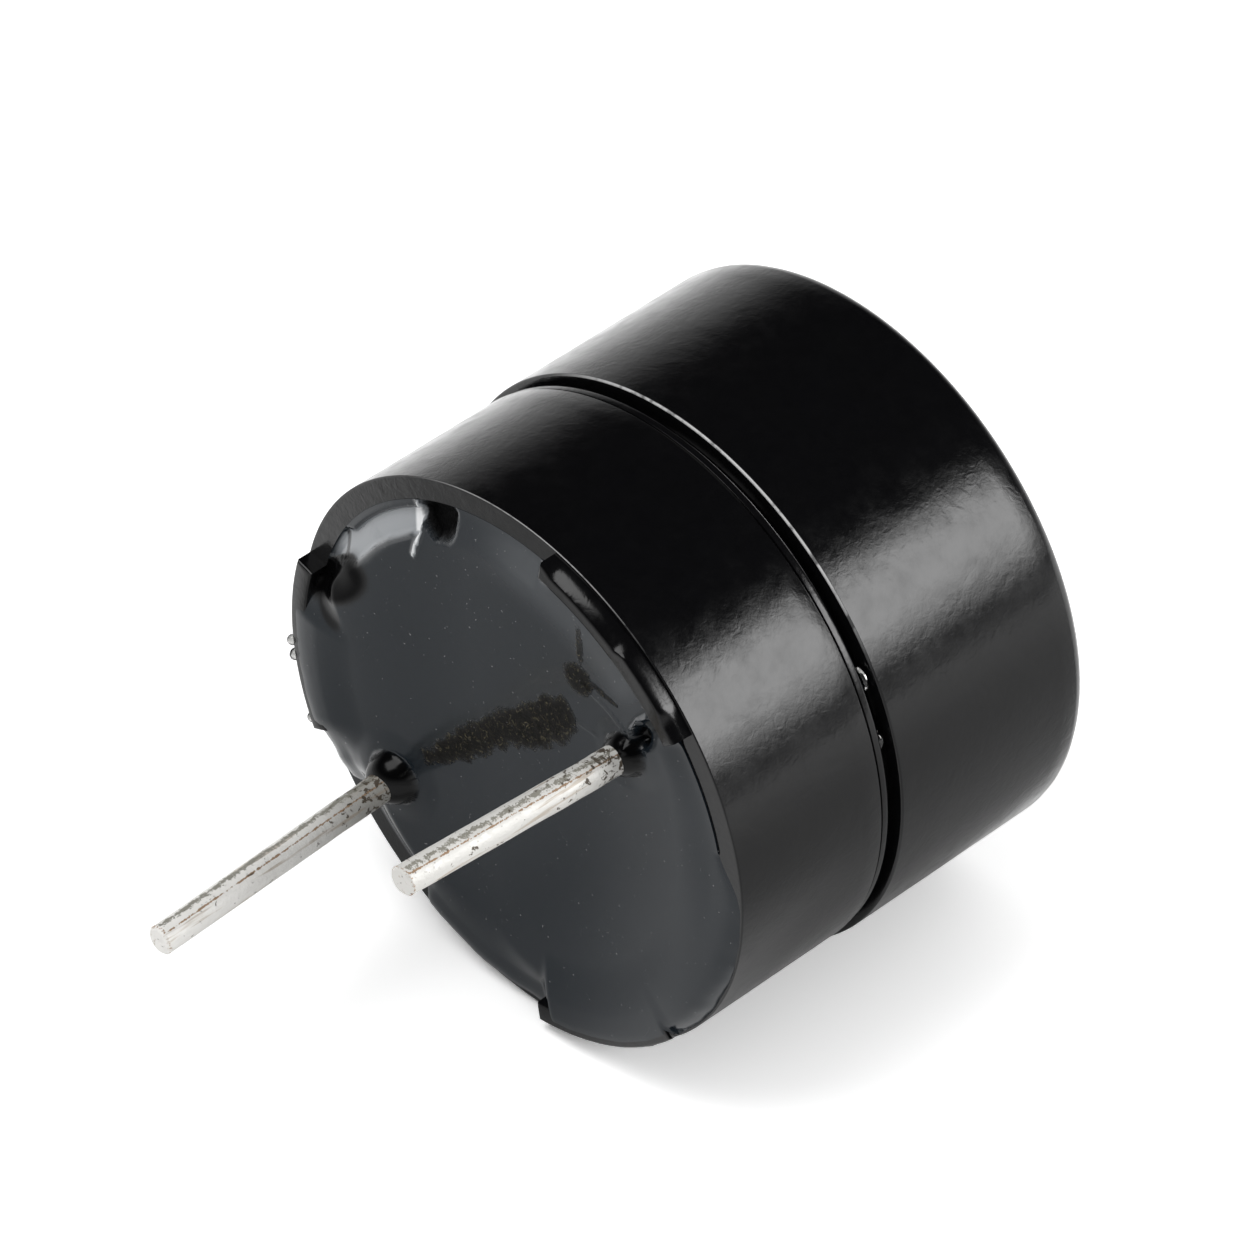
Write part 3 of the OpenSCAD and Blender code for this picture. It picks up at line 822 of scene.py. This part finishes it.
def pottingShape(x, y):
    # how far the face stands out at x, y, how stained and torn it is, how much painted reflection, sheen and
    # highlight lies there, and how dull it is, the dullness holding painted shadow
    radius = math.hypot(x, y)
    angle = math.degrees(math.atan2(y, x)) % 360
    top, reach = valuesAt(potting["edge"], angle)
    height = potting["face"] + potting["wavy"] * noiseAt(x, y, 0.5, 1)
    for direction, rise, first, last in potting["swells"]:
        along = x * math.cos(math.radians(direction)) + y * math.sin(math.radians(direction))
        height += rise * fade(along, first, last)
    height += (top - height) * fade(radius, potting["radius"] - reach, potting["radius"])
    fine = noiseAt(x, y, 5, 7)

    inside, paintedReflection = hollowAt(x, y, radius)
    dent, dull = dentAt(x, y)
    height -= hollow["depth"] * inside + dents["soft"]["depth"] * dent
    # painted sheen along the inside of the right tab
    amount, radii, start, end = dents["paintedSheen"]
    paintedReflection = max(paintedReflection, amount * fade(radius, *radii) * fade(angle, *start) * fade(angle, *end))

    edgeX, edgeY, slope, width = dents["tornEdge"]
    torn = tornAt(x, y, fine, *dents["torn"])
    torn *= fade(edgeX - x + slope * min(y - edgeY, 0), 0, width)
    height -= torn * (dents["tornDepth"][0] + dents["tornDepth"][1] * fine)
    burst = tornAt(x, y, fine, *dents["burst"])
    height -= dents["burstDepth"] * burst
    dull = max(dull, dents["tornDull"] * torn, dents["burstDull"] * burst)

    for rise, width, paintedSheen, line in dents["lines"]:
        amount = ridge(x, y, width, line)
        height += rise * amount
        # a painted highlight along this line
        if paintedSheen:
            paintedReflection = max(paintedReflection, fade(amount, *dents["lineFade"]))
    power, root = potting["dropCurve"]
    skirt, *skirtFade = potting["skirt"]
    dropDull, *dullFade = potting["dropDull"]
    for place, size, tall in potting["drops"]:
        d = ellipse(x, y, place, size)
        bead = (1 - d ** power) ** root if d < 1 else 0
        height += tall * max(bead, skirt * fade(d, *skirtFade))
        dull = max(dull, dropDull * fade(d, *dullFade))

    stain = stainAt(x, y)
    dull = max(dull, stains["dull"] * stain)
    height += stain * stains["crust"] * noiseAt(x, y, 6, 3)
    return height, stain, torn, paintedReflection, dull


def makePotting():
    form = bmesh.new()
    p = potting
    rings = int(p["radius"] / p["ringStep"])
    outline = [(p["radius"] * i / rings, p["level"]) for i in range(rings + 1)]
    outline += [(p["radius"], p["foot"]), (0, p["foot"])]
    points = [form.verts.new(Vector((x, 0, z)) * mm) for x, z in outline]
    for a, b in zip(points, points[1:]):
        form.edges.new((a, b))
    spinRound(form, p["steps"])
    layers = [form.verts.layers.float.new(name) for name in ("stain", "torn", "paintedReflection", "dull")]
    for v in form.verts:
        if v.co.z < (p["level"] + 0.01) * mm:
            height, *amounts = pottingShape(v.co.x / mm, v.co.y / mm)
            for layer, amount in zip(layers, amounts):
                v[layer] = amount
            angle, radius = polar(v.co)
            over = max(0, (radius - p["lipFrom"]) / (p["radius"] - p["lipFrom"]))
            creep, landing = valuesAt(p["lip"], angle)
            creep *= 1 + p["lipLumps"] * noiseAt(v.co.x / mm, v.co.y / mm, 2.2, 9)
            if over and creep > 0.01:
                v.co.xy *= (radius + creep * over) / radius
                height += (landing - height) * over ** p["lipCurve"]
            v.co.z -= height * mm
    finishPiece("pottingPlug", form, pottingResin, ["epoxy"], sharp=60)


makePotting()
print("potting made")


# beads of clear glue: three on the edge and two in the channel under the cap

beads = {
    # direction, radius, height, and the half sizes round, out and up
    "edge": ((34, 5.9, 0.04, 0.11, 0.11, 0.11), (30.6, 5.9, 0.07, 0.13, 0.11, 0.13),
             (16.8, 5.88, 0.06, 0.1, 0.08, 0.08)),
    "channel": ((189.5, 5.74, 4.31, 0.24, 0.13, 0.09), (202, 5.74, 4.25, 0.2, 0.13, 0.13)),
}


def makeBeads():
    form = bmesh.new()
    for direction, radius, height, along, out, high in beads["edge"] + beads["channel"]:
        turn = Matrix.Rotation(math.radians(direction), 4, "Z")
        place = turn @ Matrix.Translation(Vector((radius, 0, height)) * mm)
        size = Matrix.Diagonal(Vector((out, along, high, 1 / mm)) * mm)
        bmesh.ops.create_icosphere(form, subdivisions=4, radius=1, matrix=place @ size)
    finishPiece("glueBeads", form, clearGlue, [], sharp=180)


makeBeads()
print("beads made")


# pins

pins = {
    # the two bands are painted along the wire: a dark band where it reflects the dark surround, and a brown line
    # at the edge of the lamp's reflection; direction, half width in degrees, amount
    "longPin": {"node": "long_pin", "root": (3.85, 0.22), "tip": (3.8, 0.0), "reach": 6.0, "seed": 3,
                "dimple": 0.03, "shade": (0.0, 0.75), "darkReflection": (116, 24, 1.0), "brownLine": (157, 6, 1.0)},
    "shortPin": {"node": "short_pin", "root": (-3.825, -0.138), "tip": (-3.778, 0.12), "reach": 5.1, "seed": 11,
                 "dimple": 0.0, "shade": (0.26, 0.26), "darkReflection": (134, 24, 0.9), "brownLine": (158, 6, 1.0)},
}
wire = {
    "radius": 0.3, "bevel": 0.045, "top": 1.9, "rings": 110, "steps": 120, "foot": 0.34,
    # the dimple's width and the depth half way out, and the flat round it as a share of the radius
    "dimpleWidth": 0.06, "dimpleSlope": 0.7, "flat": 0.55,
    # heights over which the wear and the shade grow towards the root
    "wearFrom": (-2.2, 0.0), "shadeFrom": (-2.7, -0.5),
    # how lumpy it is, how much more where it is worn, and the scale of the lumps across and along it
    "lumps": (0.006, 0.014), "lumpScale": (2600, 1.6),
    # the bands stay this far out and above the tip; the tip has a brown ring
    "bandsFrom": (0.25, 0.06), "tipRing": 0.6, "ringFrom": 0.28,
}


def makePin(name):
    p, w = pins[name], wire
    form = bmesh.new()
    r, end = w["radius"], -p["reach"]
    side = w["top"] - end - w["bevel"]
    outline = [(0, end + p["dimple"]), (w["dimpleWidth"] / 2, end + w["dimpleSlope"] * p["dimple"]),
               (w["dimpleWidth"], end), (r * w["flat"], end), (r - w["bevel"], end)]
    outline += [(r, end + w["bevel"] + side * i / w["rings"]) for i in range(w["rings"] + 1)]
    outline.append((0, w["top"]))
    points = [form.verts.new(Vector((x, 0, z)) * mm) for x, z in outline]
    for a, b in zip(points, points[1:]):
        form.edges.new((a, b))
    spinRound(form, w["steps"])
    layers = {mark: form.verts.layers.float.new(mark) for mark in ("wear", "shade", "darkReflection", "brownLine")}
    across, along = w["lumpScale"]
    for v in form.verts:
        z = v.co.z / mm
        angle, radius = polar(v.co)
        wear = fade(z, *w["wearFrom"])
        low, high = p["shade"]
        v[layers["wear"]] = wear
        v[layers["shade"]] = low + (high - low) * fade(z, *w["shadeFrom"])
        # painted bands: the dark reflection and the brown line at the edge of the lamp's reflection; the brown
        # also rings the tip
        for mark in ("darkReflection", "brownLine"):
            middle, half, amount = p[mark]
            if radius > w["bandsFrom"][0] and z > end + w["bandsFrom"][1]:
                v[layers[mark]] = amount * max(0, 1 - abs(angle - middle) / half)
            elif mark == "brownLine" and radius > w["ringFrom"]:
                v[layers[mark]] = w["tipRing"]
        if radius > 0.2:
            lumps = noise.noise(Vector((v.co.x * across, v.co.y * across, z * along + p["seed"])))
            out = Vector((v.co.x, v.co.y, 0)).normalized()
            v.co += out * (w["lumps"][0] + w["lumps"][1] * wear) * lumps * mm
    # lean the pin between its foot in the potting and its tip
    foot, tip = Vector((*p["root"], w["foot"])) * mm, Vector((*p["tip"], end)) * mm
    slope = (tip - foot) / (tip.z - foot.z)
    for v in form.verts:
        centre = foot + slope * (v.co.z - foot.z)
        v.co.x += centre.x
        v.co.y += centre.y
    finishPiece(name, form, tinnedWire, [p["node"]], sharp=40)


for name in pins:
    makePin(name)
print("pins made")
